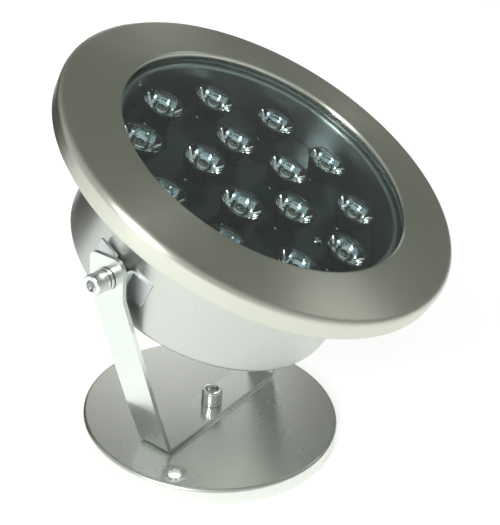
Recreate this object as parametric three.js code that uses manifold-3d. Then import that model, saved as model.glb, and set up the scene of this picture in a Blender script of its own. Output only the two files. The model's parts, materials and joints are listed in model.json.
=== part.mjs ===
// Underwater pool light: a round stainless LED head in a U bracket on a round screw-down foot.
// Millimetres, +Z up. The head tilts about an axis along X; at rest its beam leans towards -Y.
// The foot stands on z = 0, and the whole light is centred over the origin at the end.
import * as THREE from 'three';
import { mergeVertices } from 'three/addons/utils/BufferGeometryUtils.js';
import Module from 'manifold-3d';

const wasm = await Module();
wasm.setup();

// ---- driving dimensions ----
const HEAD_GAP = 0.3; // clearance between neighbours inside the tilted head
const STACK_GAP = 0.15; // clearance between neighbours in the level stack on the foot
const TILT_DEG = 26.6; // beam axis, measured from vertical, at rest

const FOOT_R = 62.5;
const FOOT_H = 7.7;
const FOOT_SHEET = 2;
const FOOT_EDGE_R = 1.8;
const SCREW_HOLE_R = 3;
const SCREW_CIRCLE_R = 54.4;
const SCREW_HOLE_ANGLES_DEG = [19.8, 199.8];
const SCREW_SEAT_R = 5.5; // flat pressed round each hole for the screw's head
const SCREW_SEAT_DEPTH = 0.2;

const STRIP_T = 2;
const STRIP_W = 17;
const ARM_CENTRE_X = 73.5; // mid-sheet, where the arms stand upright
const ARM_KNEE = [52.1, 35.3]; // x, z of the slight knee in each arm
const STRIP_FOLD_X = 42.2;
const ARM_TOP_FOLD_Z = 98.5;
const PIVOT_Z = 105.7;
const PIVOT_Y = 1.46; // the arms lean back by less than a degree
const ARM_END = 9.5; // from the pivot to the arm's rounded end
const ARM_FRONT_CORNER_R = 5;
const ARM_REAR_CORNER_R = 3;
const BEND_R = 2.6;
const TOP_BEND_R = 9;

const M6 = { shank: 3, bore: 3.3, headR: 5, headH: 6, socket: 2.5, springR: 5.1, nutR: 5.77 };
const M5 = { shank: 2.5, bore: 2.8, headR: 4.25, headH: 5, socket: 2, washerR: 4.8, springR: 4.35 };

const BEAM_OFFSET_Y = -2.5; // from the pivots to the origin of the head's drawn parts
const BEAM_OFFSET_Z = 1.92;
const CUP_R = 65.5; // outside of the drawn housing
const CUP_SHEET = 1.5;
const CUP_REAR = -22.2; // along the beam axis from the head's origin
const CUP_EDGE_R = 3;
const FLANGE_R = 86.8; // rim of the housing, gripped by the bezel's rolled hem
const FLANGE_Z = 32.5; // underside of that rim

const BEZEL_R = 90;
const BEZEL_SHOULDER = 42.25;
const BEZEL_SHOULDER_R = 3;
const BEZEL_CROWN = 42.9; // highest line of the face, close to the window
const BEZEL_SHEET = 1.4;
const WINDOW_R = 64.8;
const LIP_R = 1.6;
const WALL_END = 33.2;
const HEM_R = 88.4;
const HEM_END = 31;
const HEM_INNER_R = 84;

const GLASS_R = 70.4;
const GLASS_BOTTOM = 35.4;
const GLASS_T = 4.4;
const GASKET_R = 72.2; // the gasket wraps the edge of the glass
const GASKET_INNER_R = 66.6;
const RING_R = 63.6;
const RING_T = 1;
const RING_BOTTOM = 25.2;
const RING_FLANGE_R = 66.3; // held between the glass and the housing's rim

const BOARD_R = 62;
const BOARD_TOP = 17.4;
const BOARD_T = 1.6;
const LED_CENTRE = [-1, 1]; // the LED pattern sits a little off the beam axis
const LED_RINGS = [
  { count: 5, radius: 22.4, startDeg: 62 },
  { count: 10, radius: 50.3, startDeg: 26 },
];
const LENS_FACE = 27.4;
const LENS_R = 8.8;
const HOLDER_R = 9.8;
const HOLDER_FOOT_R = 5.8;

const EAR_T = 1.5;
const EAR_W = 12; // along the beam axis
const EAR_CENTRE = -0.8; // middle of that width, from the pivot
const EAR_BRIDGE_X = 70.5; // outer face of the ear, under the friction washer
const EAR_BRIDGE_HALF = 5.2;
const EAR_TAB_END = 14.1;

const GLAND_BORE_R = 4.6;
const GLAND_NECK_R = 7.8;
const GLAND_HEX_R = 11;
const GLAND_NUT_R = 10;

// sides of round pieces, by their size
const SIDES = { rim: 56, ring: 40, lens: 12, small: 16 };

// ---- materials ----
const paint = (color, metalness, roughness, extra = {}) =>
  new THREE.MeshStandardMaterial({ color, metalness, roughness, ...extra });
const BRUSHED = () => paint(0xb9b4aa, 1, 0.32);
const PALE_STEEL = () => paint(0xc9ccc8, 1, 0.38);
const BRIGHT_STEEL = () => paint(0xcfd2d2, 1, 0.2);
const RUBBER = () => paint(0x1b1c1d, 0, 0.8);
const CLEAR_SILICONE = () => paint(0xd5dad6, 0, 0.4, { transparent: true, opacity: 0.6 });
const BLACK_PLASTIC = () => paint(0x15181a, 0, 0.35);
const CLEAR = () => paint(0xe6f2f4, 0, 0.04, { transparent: true, opacity: 0.35 });
const BOARD = () => paint(0x16191b, 0, 0.4);
const ALUMINIUM = () => paint(0xa9adb0, 1, 0.4);

// ---- geometry helpers ----

/** Keeps positions only, merges shared vertices, drops slivers and turns the faces outwards. */
function closed(source) {
  const bare = source.index ? source.toNonIndexed() : source.clone();
  bare.deleteAttribute('normal');
  bare.deleteAttribute('uv');
  const merged = mergeVertices(bare, 1e-4);
  const { array } = merged.index;
  const position = merged.attributes.position;
  const corners = [0, 1, 2].map(() => new THREE.Vector3());
  const kept = [];
  let volume = 0;
  for (let i = 0; i < array.length; i += 3) {
    const [a, b, c] = [array[i], array[i + 1], array[i + 2]];
    if (a === b || b === c || c === a) continue;
    [a, b, c].forEach((vertex, k) => corners[k].fromBufferAttribute(position, vertex));
    volume += corners[0].dot(corners[1].clone().cross(corners[2]));
    kept.push([a, b, c]);
  }
  const facing = volume < 0 ? kept.map(([a, b, c]) => [a, c, b]) : kept;
  merged.setIndex(facing.flat());
  merged.computeVertexNormals();
  return merged;
}

function toSolid(geometry) {
  const body = closed(geometry);
  return new wasm.Manifold(new wasm.Mesh({
    numProp: 3,
    vertProperties: new Float32Array(body.attributes.position.array),
    triVerts: new Uint32Array(body.index.array),
  }));
}

function toGeometry(solid) {
  const mesh = solid.getMesh();
  const geometry = new THREE.BufferGeometry();
  geometry.setAttribute('position', new THREE.BufferAttribute(new Float32Array(mesh.vertProperties), 3));
  geometry.setIndex(new THREE.BufferAttribute(new Uint32Array(mesh.triVerts), 1));
  return closed(geometry);
}

const cut = (body, ...tools) =>
  toGeometry(tools.reduce((left, tool) => left.subtract(toSolid(tool)), toSolid(body)));
const join = (body, ...others) =>
  toGeometry(others.reduce((sum, other) => sum.add(toSolid(other)), toSolid(body)));

/** Turns an outline of [radius, height] points about Z. A ring's outline is closed here. */
function turned(outline, segments, isRing = true) {
  const points = outline.map(([radius, height]) => new THREE.Vector2(radius, height));
  if (isRing) points.push(points[0].clone());
  return closed(new THREE.LatheGeometry(points, segments).rotateX(Math.PI / 2));
}

/** Points of an arc in an outline, from one angle to another in degrees. */
function arc(centreR, centreH, radius, fromDeg, toDeg, steps) {
  return Array.from({ length: steps + 1 }, (_, i) => {
    const angle = THREE.MathUtils.degToRad(fromDeg + ((toDeg - fromDeg) * i) / steps);
    return [centreR + radius * Math.cos(angle), centreH + radius * Math.sin(angle)];
  });
}

const tube = (innerR, outerR, bottom, top, segments) =>
  turned([[innerR, bottom], [outerR, bottom], [outerR, top], [innerR, top]], segments);
const rod = (radius, bottom, top, segments) =>
  turned([[0, bottom], [radius, bottom], [radius, top], [0, top]], segments, false);

/** A hexagonal prism along Z, sized by the radius to its corners. */
const hexPrism = (cornerR, bottom, top) => rod(cornerR, bottom, top, 6);

/** A point of a path with its unit normal. */
const station = (point, normal) => ({ point, normal });

/** Rounds the corners of a path, and gives evenly turned stations along each bend. */
function bentPath(corners, bendRadii, steps) {
  const path = corners.map(([x, y]) => new THREE.Vector2(x, y));
  const heading = (a, b) => b.clone().sub(a).normalize();
  const leftOf = (d) => new THREE.Vector2(-d.y, d.x);
  const stations = [station(path[0], leftOf(heading(path[0], path[1])))];
  for (let i = 1; i < path.length - 1; i += 1) {
    const into = heading(path[i - 1], path[i]);
    const out = heading(path[i], path[i + 1]);
    const turn = Math.atan2(into.cross(out), into.dot(out));
    const radius = bendRadii[i - 1];
    const start = path[i].clone().addScaledVector(into, -radius * Math.tan(Math.abs(turn) / 2));
    const centre = start.clone().addScaledVector(leftOf(into), radius * Math.sign(turn));
    for (let k = 0; k <= steps; k += 1) {
      const normal = leftOf(into).rotateAround(new THREE.Vector2(), (turn * k) / steps);
      stations.push(station(centre.clone().addScaledVector(normal, -radius * Math.sign(turn)), normal));
    }
  }
  const last = path.length - 1;
  stations.push(station(path[last], leftOf(heading(path[last - 1], path[last]))));
  return stations;
}

/** A strip of sheet bent along a path in X and Y, with its width running along Z. */
function bentStrip(corners, bendRadii, thickness, width, steps) {
  const stations = bentPath(corners, bendRadii, steps);
  const side = (offset) =>
    stations.map(({ point, normal }) => point.clone().addScaledVector(normal, offset));
  const outline = [...side(thickness / 2), ...side(-thickness / 2).reverse()];
  const strip = new THREE.ExtrudeGeometry(new THREE.Shape(outline), { depth: width, bevelEnabled: false });
  return closed(strip.translate(0, 0, -width / 2));
}

// ---- fasteners, standing along Z with the underside of the head at z = 0 ----

function capScrew({ shank, headR, headH, socket }, length) {
  const chamfer = 0.5;
  const body = turned([
    [0, -length], [shank - chamfer, -length], [shank, -length + chamfer], [shank, 0],
    [headR, 0], [headR, headH - chamfer], [headR - chamfer, headH], [0, headH],
  ], SIDES.small, false);
  const socketCornerR = socket / Math.cos(Math.PI / 6);
  return cut(body, hexPrism(socketCornerR, headH / 2, headH + 1));
}

function splitWasher(bore, outerR, thickness) {
  const split = new THREE.BoxGeometry(outerR, 1, 3 * thickness).rotateX(0.5);
  return cut(tube(bore, outerR, 0, thickness, SIDES.small), split.translate(outerR, 0, thickness / 2));
}

const hexNut = (bore, cornerR, height) =>
  cut(hexPrism(cornerR, 0, height), rod(bore, -1, height + 1, SIDES.small));

// ---- foot ----

function footPlate() {
  const under = FOOT_H - FOOT_SHEET;
  const inside = FOOT_R - FOOT_SHEET;
  const centreR = FOOT_R - FOOT_EDGE_R;
  const plate = turned([
    [M6.bore, under], [inside - 0.4, under], [inside, under - 0.4], [inside, 0], [FOOT_R, 0],
    ...arc(centreR, FOOT_H - FOOT_EDGE_R, FOOT_EDGE_R, 0, 90, 3), [M6.bore, FOOT_H],
  ], SIDES.rim);
  const holes = SCREW_HOLE_ANGLES_DEG.flatMap((degrees) => {
    const angle = THREE.MathUtils.degToRad(degrees);
    const drill = rod(SCREW_HOLE_R, 0, FOOT_H + 1, SIDES.small);
    const seat = rod(SCREW_SEAT_R, FOOT_H - SCREW_SEAT_DEPTH, FOOT_H + 1, SIDES.small);
    return [drill, seat].map((tool) =>
      tool.translate(SCREW_CIRCLE_R * Math.cos(angle), SCREW_CIRCLE_R * Math.sin(angle), 0));
  });
  return cut(plate, ...holes);
}

const STRIP_BOTTOM = FOOT_H + STACK_GAP;
const SPRING_WASHER_T = 1.3;

/** The parts clamped on the foot's centre bolt, by height. */
function centreStack() {
  const springZ = STRIP_BOTTOM + STRIP_T + STACK_GAP;
  const headZ = springZ + SPRING_WASHER_T + STACK_GAP;
  const nutTop = FOOT_H - FOOT_SHEET - STACK_GAP;
  const nutH = 5;
  return [
    ['base_spring_washer', splitWasher(M6.bore, M6.springR, SPRING_WASHER_T).translate(0, 0, springZ)],
    ['base_bolt', capScrew(M6, headZ - 0.8).translate(0, 0, headZ)],
    ['base_nut', hexNut(M6.bore, M6.nutR, nutH).translate(0, 0, nutTop - nutH)],
  ];
}

// ---- bracket ----

/** One strip bent into a U with flaring arms, round-cornered at both ends and leaning slightly back. */
function bracket() {
  const stripZ = STRIP_BOTTOM + STRIP_T / 2;
  const armTop = PIVOT_Z + ARM_END + 1;
  const right = [[STRIP_FOLD_X, stripZ], ARM_KNEE, [ARM_CENTRE_X, ARM_TOP_FOLD_Z], [ARM_CENTRE_X, armTop]];
  const left = right.map(([x, z]) => [-x, z]).reverse();
  const bends = [TOP_BEND_R, TOP_BEND_R, BEND_R, BEND_R, TOP_BEND_R, TOP_BEND_R];
  const flat = bentStrip([...left, ...right], bends, STRIP_T, STRIP_W, 4).rotateX(Math.PI / 2);

  const half = STRIP_W / 2;
  const endZ = PIVOT_Z + ARM_END;
  const [rearR, frontR] = [ARM_REAR_CORNER_R, ARM_FRONT_CORNER_R];
  const outline = new THREE.Shape().moveTo(-half, 0).lineTo(half, 0).lineTo(half, endZ - rearR);
  outline.absarc(half - rearR, endZ - rearR, rearR, 0, Math.PI / 2, false);
  outline.absarc(frontR - half, endZ - frontR, frontR, Math.PI / 2, Math.PI, false);
  const reach = 2 * (ARM_CENTRE_X + 5);
  const extrusion = { depth: reach, bevelEnabled: false, curveSegments: 6 };
  const envelope = new THREE.ExtrudeGeometry(outline, extrusion);
  envelope.rotateX(Math.PI / 2).rotateZ(Math.PI / 2).translate(-reach / 2, 0, 0);

  const rounded = toGeometry(toSolid(flat).intersect(toSolid(envelope)));
  const pivotDrill = rod(M5.bore, -reach / 2, reach / 2, SIDES.small).rotateY(Math.PI / 2);
  pivotDrill.translate(0, 0, PIVOT_Z);
  const upright = cut(rounded, pivotDrill, rod(M6.bore, 0, PIVOT_Z / 2, SIDES.small));

  const lean = PIVOT_Y / (PIVOT_Z - stripZ);
  const shear = new THREE.Matrix4().makeShear(0, 0, 0, 0, 0, lean);
  return upright.applyMatrix4(shear).translate(0, -lean * stripZ, 0);
}

// ---- head, drawn with the beam along Z, a little off the pivots ----

function bezel() {
  const wallIn = BEZEL_R - BEZEL_SHEET;
  const shoulderR = BEZEL_R - BEZEL_SHOULDER_R;
  const shoulderZ = BEZEL_SHOULDER - BEZEL_SHOULDER_R;
  const under = BEZEL_SHOULDER - BEZEL_SHEET;
  const lipR = WINDOW_R + LIP_R;
  const hemTop = HEM_END + 1.2;
  const hemIn = HEM_R - 1.2;
  return turned([
    [HEM_INNER_R, HEM_END], [HEM_R - 0.5, HEM_END], [HEM_R, HEM_END + 0.5], [HEM_R, WALL_END - 0.4],
    [BEZEL_R - 0.4, WALL_END], [BEZEL_R, WALL_END + 0.4],
    ...arc(shoulderR, shoulderZ, BEZEL_SHOULDER_R, 0, 90, 3),
    [(shoulderR + lipR) / 2, (BEZEL_SHOULDER + BEZEL_CROWN) / 2 + 0.15],
    ...arc(lipR, BEZEL_CROWN - LIP_R, LIP_R, 90, 200, 3),
    [lipR, under], [shoulderR, under], [wallIn, under - 1.4], [wallIn, WALL_END + 1],
    [hemIn, WALL_END + 0.4], [hemIn, hemTop], [HEM_INNER_R, hemTop],
  ], SIDES.rim);
}

const RIM_TOP = FLANGE_Z + CUP_SHEET;

/** The drawn cup, with the gland's hole in its rear. */
function housing() {
  const inner = CUP_R - CUP_SHEET;
  const floor = CUP_REAR + CUP_SHEET;
  const hole = GLAND_NECK_R + HEAD_GAP;
  const innerEdgeR = CUP_EDGE_R - CUP_SHEET;
  return turned([
    [hole, CUP_REAR], ...arc(CUP_R - CUP_EDGE_R, CUP_REAR + CUP_EDGE_R, CUP_EDGE_R, -90, 0, 3),
    [CUP_R, RIM_TOP], [inner + 0.8, RIM_TOP], [inner, RIM_TOP - 0.8],
    ...arc(inner - innerEdgeR, floor + innerEdgeR, innerEdgeR, 0, -90, 1), [hole, floor],
  ], SIDES.rim);
}

/** Flat ring round the cup's mouth, with a small collar under it, which the bezel grips. */
function rimFlange() {
  const inner = CUP_R + HEAD_GAP;
  return turned([
    [inner, FLANGE_Z - 1], [inner + 0.8, FLANGE_Z],
    [FLANGE_R, FLANGE_Z], [FLANGE_R, RIM_TOP], [inner, RIM_TOP],
  ], SIDES.rim);
}

/** The pane, the U-section gasket round its edge, and the trim ring behind it. */
function windowParts() {
  const top = GLASS_BOTTOM + GLASS_T;
  const gasketTop = BEZEL_SHOULDER - BEZEL_SHEET - HEAD_GAP / 3;
  const seatZ = RIM_TOP + HEAD_GAP;
  const rearZ = GLASS_BOTTOM - HEAD_GAP;
  const frontZ = top + HEAD_GAP;
  const channelR = GLASS_R + HEAD_GAP;
  const gasket = turned([
    [GASKET_INNER_R, seatZ], [GASKET_R, seatZ], [GASKET_R, gasketTop], [GASKET_INNER_R, gasketTop],
    [GASKET_INNER_R, frontZ], [channelR, frontZ], [channelR, rearZ], [GASKET_INNER_R, rearZ],
  ], SIDES.ring);
  const ring = turned([
    [RING_R - RING_T, RING_BOTTOM], [RING_R, RING_BOTTOM], [RING_R, RIM_TOP - 0.7], [RING_R + 0.7, seatZ],
    [RING_FLANGE_R, seatZ], [RING_FLANGE_R, rearZ], [RING_R + 1, rearZ], [RING_R - 0.6, RIM_TOP - 0.4],
  ], SIDES.ring);
  return [
    ['glass', rod(GLASS_R, GLASS_BOTTOM, top, SIDES.ring), CLEAR],
    ['window_gasket', gasket, CLEAR_SILICONE],
    ['inner_ring', ring, BRUSHED],
  ];
}

function ledPlaces() {
  const [centreX, centreY] = LED_CENTRE;
  return LED_RINGS.flatMap(({ count, radius, startDeg }) =>
    Array.from({ length: count }, (_, i) => {
      const angle = THREE.MathUtils.degToRad(startDeg + (360 * i) / count);
      return [centreX + radius * Math.cos(angle), centreY + radius * Math.sin(angle)];
    }));
}

/** The round board, with a chip and its dome soldered under each lens. */
function ledBoard() {
  const chips = ledPlaces().map(([x, y]) => {
    const chip = turned([
      [0, BOARD_TOP - 0.5], [2.6, BOARD_TOP - 0.5], [2.6, BOARD_TOP + 0.7], [0, BOARD_TOP + 1.5],
    ], SIDES.lens / 2, false);
    return chip.translate(x, y, 0);
  });
  return join(rod(BOARD_R, BOARD_TOP - BOARD_T, BOARD_TOP, SIDES.ring), ...chips);
}

/** Black cone that carries a lens over its chip, open at both ends. */
function lensHolder() {
  const foot = BOARD_TOP + HEAD_GAP;
  const rim = LENS_FACE - 0.4;
  return turned([
    [HOLDER_FOOT_R - 0.8, foot], [HOLDER_FOOT_R, foot], [HOLDER_R, rim], [LENS_R + HEAD_GAP, rim],
  ], SIDES.lens);
}

/** Clear collimator: a narrow end over the chip and a wide flat face. */
function lens() {
  const foot = BOARD_TOP + 2.4;
  return turned([
    [0, foot], [4, foot], [LENS_R, LENS_FACE - 0.9], [LENS_R, LENS_FACE], [0, LENS_FACE],
  ], SIDES.lens, false);
}

function opticParts() {
  return ledPlaces().flatMap(([x, y], i) => {
    const number = String(i + 1).padStart(2, '0');
    return [
      [`lens_${number}`, lens().translate(x, y, 0), CLEAR],
      [`lens_holder_${number}`, lensHolder().translate(x, y, 0), BLACK_PLASTIC],
    ];
  });
}

/** Round plate under the board, with straight fins into the cup. */
function heatSink() {
  const top = BOARD_TOP - BOARD_T - HEAD_GAP;
  const plateT = 3;
  const plateR = 60;
  const finCircleR = 56;
  const finDepth = 9;
  const finPitch = 16;
  const fins = [-2, -1, 0, 1, 2].map((step) => {
    const x = step * finPitch;
    const length = 2 * Math.sqrt(finCircleR ** 2 - x ** 2);
    const fin = new THREE.BoxGeometry(2.4, length, finDepth + 1);
    return fin.translate(x, 0, top - plateT - finDepth / 2 + 0.5);
  });
  return join(rod(plateR, top - plateT, top, SIDES.ring), ...fins);
}

/** Driver board with its transformer, capacitor and terminal block. */
function driver() {
  const boardZ = -10;
  const box = (w, d, h, x, y) => new THREE.BoxGeometry(w, d, h).translate(x, y, boardZ + h / 2);
  const capacitor = rod(5, boardZ, boardZ + 10, SIDES.small).translate(22, 8, 0);
  return join(
    new THREE.BoxGeometry(72, 46, 1.6).translate(0, 0, boardZ),
    box(20, 16, 9, -14, 4), box(14, 8, 8, 8, -15), capacitor,
  );
}

function glandParts() {
  const seat = CUP_REAR - HEAD_GAP;
  const neckEnd = seat - 14;
  const nutTop = seat - 6;
  const nutEnd = nutTop - 15;
  const neck = rod(GLAND_NECK_R, neckEnd, seat + 6, SIDES.small);
  const body = join(hexPrism(GLAND_HEX_R, seat - 5.5, seat), neck);
  const nut = turned([
    [GLAND_NECK_R + HEAD_GAP, nutTop], [GLAND_NECK_R + HEAD_GAP, nutEnd + 4],
    [GLAND_BORE_R + 0.6, nutEnd + 4], [GLAND_BORE_R + 0.8, nutEnd + 2], [GLAND_BORE_R + 2, nutEnd],
    [GLAND_NUT_R - 2, nutEnd], [GLAND_NUT_R, nutEnd + 4], [GLAND_NUT_R, nutTop],
  ], SIDES.small);
  const sealTop = neckEnd - HEAD_GAP;
  const seal = tube(GLAND_BORE_R - 0.4, GLAND_NECK_R, nutEnd + 4 + HEAD_GAP, sealTop, SIDES.small);
  return [
    ['gland_body', cut(body, rod(GLAND_BORE_R, neckEnd - 1, seat + 7, SIDES.small)), BRIGHT_STEEL],
    ['gland_nut', nut, BRIGHT_STEEL],
    ['gland_seal', seal, RUBBER],
  ];
}

/** Hat-shaped ear, drawn round its pivot: two tabs on the cup wall and a bridge for the bolt. */
function ear() {
  const webY = EAR_BRIDGE_HALF - EAR_T / 2;
  const tabR = CUP_R + EAR_T / 2 + 0.5;
  const onCup = (y) => [Math.sqrt(tabR ** 2 - (y - BEAM_OFFSET_Y) ** 2), y];
  const bridgeX = EAR_BRIDGE_X - EAR_T / 2;
  const path = [
    onCup(-EAR_TAB_END), onCup(-webY), [bridgeX, -webY], [bridgeX, webY], onCup(webY), onCup(EAR_TAB_END),
  ];
  const hat = bentStrip(path, [1, 1, 1, 1], EAR_T, EAR_W, 3).translate(0, 0, EAR_CENTRE);
  const drill = rod(M5.bore, CUP_R, EAR_BRIDGE_X + 1, SIDES.small).rotateY(Math.PI / 2);
  return cut(hat, drill);
}

/** One pivot on the +X side: ear, nut, friction washer, washers and bolt, from the cup outwards. */
function pivotParts() {
  const along = (geometry, x) => geometry.rotateY(Math.PI / 2).translate(x, 0, 0);
  const armOut = ARM_CENTRE_X + STRIP_T / 2;
  const armIn = ARM_CENTRE_X - STRIP_T / 2;
  const frictionT = armIn - EAR_BRIDGE_X - 2 * HEAD_GAP;
  const frictionWasher = tube(M5.bore, 6.8, 0, frictionT, SIDES.small);
  const springWasher = splitWasher(M5.bore, M5.springR, SPRING_WASHER_T);
  const flatX = armOut + HEAD_GAP;
  const springX = flatX + 1.2 + HEAD_GAP;
  const headX = springX + SPRING_WASHER_T + HEAD_GAP;
  const nutX = CUP_R + 0.6;
  const nutLength = EAR_BRIDGE_X - EAR_T - HEAD_GAP - nutX;
  return [
    ['ear', ear(), BRUSHED],
    ['pivot_nut', along(tube(M5.bore, 3.4, 0, nutLength, SIDES.small), nutX), BRIGHT_STEEL],
    ['pivot_friction_washer', along(frictionWasher, EAR_BRIDGE_X + HEAD_GAP), RUBBER],
    ['pivot_flat_washer', along(tube(M5.bore, M5.washerR, 0, 1.2, SIDES.small), flatX), BRIGHT_STEEL],
    ['pivot_spring_washer', along(springWasher, springX), BRIGHT_STEEL],
    ['pivot_bolt', along(capScrew(M5, headX - nutX), headX), BRIGHT_STEEL],
  ];
}

/** Both pivots: the left one mirrors the right one. */
function bothPivots() {
  const right = pivotParts().map(([name, geometry, material]) => [`${name}_right`, geometry, material]);
  const left = pivotParts().map(([name, geometry, material]) =>
    [`${name}_left`, geometry.scale(-1, 1, 1), material]);
  return [...right, ...left];
}

// ---- assembly ----

function addPieces(group, pieces) {
  for (const [name, geometry, material = BRIGHT_STEEL] of pieces) {
    const mesh = new THREE.Mesh(closed(geometry), material());
    mesh.name = name;
    group.add(mesh);
  }
}

function headGroup() {
  const shell = new THREE.Group();
  addPieces(shell, [
    ['bezel', bezel(), BRUSHED],
    ['housing', housing(), BRUSHED],
    ['rim_flange', rimFlange(), BRUSHED],
    ...windowParts(),
    ['led_board', ledBoard(), BOARD],
    ...opticParts(),
    ['heat_sink', heatSink(), ALUMINIUM],
    ['driver_board', driver(), BOARD],
    ...glandParts(),
  ]);
  shell.position.set(0, BEAM_OFFSET_Y, BEAM_OFFSET_Z);

  const head = new THREE.Group();
  head.add(shell);
  addPieces(head, bothPivots());
  head.position.set(0, PIVOT_Y, PIVOT_Z);
  head.rotation.x = THREE.MathUtils.degToRad(TILT_DEG);
  return head;
}

const light = new THREE.Group();
addPieces(light, [
  ['base_plate', footPlate(), BRUSHED],
  ['bracket', bracket(), PALE_STEEL],
  ...centreStack(),
]);
light.add(headGroup());

const bounds = new THREE.Box3().setFromObject(light, true);
light.position.y = -bounds.getCenter(new THREE.Vector3()).y;

export default light;
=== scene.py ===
"""Looks of the underwater pool light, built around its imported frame.

Outlines are in millimetres, and the meshes made from them in metres. The tilted head is drawn upright, with
the beam along Z, and then placed by HEAD. The parts at its pivots are placed by PIVOTS.
"""
import json
import math

import bmesh
import bpy
from mathutils import Matrix, Vector


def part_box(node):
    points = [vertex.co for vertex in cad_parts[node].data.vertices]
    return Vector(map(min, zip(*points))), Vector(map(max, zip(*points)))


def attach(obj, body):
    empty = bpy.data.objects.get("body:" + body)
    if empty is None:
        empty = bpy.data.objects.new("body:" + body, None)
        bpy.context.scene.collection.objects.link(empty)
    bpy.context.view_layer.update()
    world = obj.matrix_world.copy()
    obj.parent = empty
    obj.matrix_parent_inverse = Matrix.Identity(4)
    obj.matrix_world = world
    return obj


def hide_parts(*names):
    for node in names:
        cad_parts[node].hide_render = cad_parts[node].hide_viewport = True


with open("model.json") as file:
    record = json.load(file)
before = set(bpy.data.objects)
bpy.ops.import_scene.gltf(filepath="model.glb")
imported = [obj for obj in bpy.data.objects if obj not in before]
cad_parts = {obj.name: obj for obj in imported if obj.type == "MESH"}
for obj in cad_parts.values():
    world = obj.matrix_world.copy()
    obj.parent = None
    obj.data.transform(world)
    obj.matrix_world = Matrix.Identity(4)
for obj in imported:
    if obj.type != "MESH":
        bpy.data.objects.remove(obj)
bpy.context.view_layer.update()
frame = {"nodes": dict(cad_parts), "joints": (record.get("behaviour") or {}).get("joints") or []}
MM = 0.001
JOINTS = {joint["name"]: joint for joint in frame["joints"]}
PIVOT = Vector(JOINTS["head_tilt"]["pos_m"])
PAN = Vector(JOINTS["bracket_pan"]["pos_m"])
FOOT = Matrix.Translation((PAN.x, PAN.y, 0.0))


def beam_axis():
    """The direction the light shines: the mean normal of the glass's upward faces, weighted by area."""
    mesh = frame["nodes"]["glass"].data
    total = Vector()
    for polygon in mesh.polygons:
        if polygon.normal.z > 0.5:
            total += polygon.normal * polygon.area
    return total.normalized()


BEAM = beam_axis()
TILT = math.atan2(-BEAM.y, BEAM.z)
BEAM_OFFSET_Y, BEAM_OFFSET_Z = -2.5, 1.92  # from the pivots to the origin of the head's drawn parts
PIVOTS = Matrix.Translation(PIVOT) @ Matrix.Rotation(TILT, 4, "X")
HEAD = PIVOTS @ Matrix.Translation((0, BEAM_OFFSET_Y * MM, BEAM_OFFSET_Z * MM))
ALONG_X = Matrix.Rotation(math.pi / 2, 4, "Y")  # turns a piece drawn along Z to lie along X

# ---- sizes that the frame doesn't give, in millimetres and degrees ----
FOOT_R, FOOT_H, FOOT_SHEET, FOOT_EDGE_R = 62.5, 7.7, 2.0, 1.8
SCREW_HOLE_R, SCREW_CIRCLE_R, SCREW_HOLE_DEG = 3.0, 54.4, 19.8
SCREW_SEAT_R, SCREW_SEAT_DEPTH = 5.5, 0.2

M6 = {"shank": 3.0, "head_r": 5.0, "head_h": 6.0, "socket": 2.5}
M5 = {"shank": 2.5, "head_r": 4.25, "head_h": 5.0, "socket": 2.0}
M6_BORE, M6_SPRING_R, M6_NUT_R, M6_NUT_H = 3.3, 5.1, 5.77, 5.0
M5_BORE, M5_WASHER_R, M5_SPRING_R = 2.8, 4.8, 4.35
PIVOT_NUT_R, PIVOT_NUT_LENGTH, FRICTION_WASHER_R, FRICTION_WASHER_T = 3.4, 2.6, 6.8, 1.4
SPRING_WASHER_T, FLAT_WASHER_T = 1.3, 1.2

STRIP_T, STRIP_W = 2.0, 17.0
STRIP_BOTTOM = 7.85
ARM_CENTRE_X, ARM_TOP_FOLD_Z = 73.5, 98.5
ARM_END, ARM_FRONT_CORNER_R, ARM_REAR_CORNER_R = 9.5, 5.0, 3.0
ARM_KNEE = (52.1, 35.3)
STRIP_FOLD_X = 42.2
FOLD_R, ARM_BEND_R = 2.6, 9.0
PIVOT_Z = PIVOT.z / MM

CUP_R, CUP_SHEET, CUP_REAR, CUP_EDGE_R = 65.5, 1.5, -22.2, 3.0
FLANGE_R, FLANGE_Z = 86.8, 32.5
BEZEL_R, BEZEL_SHOULDER, BEZEL_SHOULDER_R, BEZEL_CROWN = 90.0, 42.25, 3.0, 42.9
BEZEL_SHEET, WINDOW_R, LIP_R = 1.4, 64.8, 1.6
WALL_END, HEM_R, HEM_END, HEM_INNER_R = 33.2, 88.4, 31.0, 84.0
GLASS_R, GLASS_BOTTOM, GLASS_T = 70.4, 35.4, 4.4
GASKET_R, GASKET_INNER_R = 72.2, 66.6
RING_R, RING_T, RING_BOTTOM, RING_FLANGE_R = 63.6, 1.0, 25.2, 66.3
BOARD_R, BOARD_TOP, BOARD_T = 62.0, 17.4, 1.6
LED_CENTRE = (-1.0, 1.0)
LED_RINGS = ((5, 22.4, 62), (10, 50.3, 26))  # how many, on what radius, and the first one's angle
LENS_FACE, LENS_R, HOLDER_R, HOLDER_FOOT_R = 27.4, 8.8, 9.8, 5.8
EAR_T, EAR_W, EAR_CENTRE = 1.5, 12.0, -0.8
EAR_BRIDGE_X, EAR_BRIDGE_HALF, EAR_TAB_END = 70.5, 5.2, 14.1
GLAND_SEAT = CUP_REAR - 0.3
GLAND_BORE_R, GLAND_NECK_R, GLAND_HEX_R, GLAND_NUT_R = 4.6, 7.8, 11.0, 10.0


# ---- outlines and meshes ----

BEVEL_ANGLE_DEG = 50  # a bevel takes edges sharper than this
SHARP_DEG = 35  # edges sharper than this stay crisp in the shading
SHEET_SHARP_DEG = 50  # the same for bent sheet and sprung washers, whose bends have few faces


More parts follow.
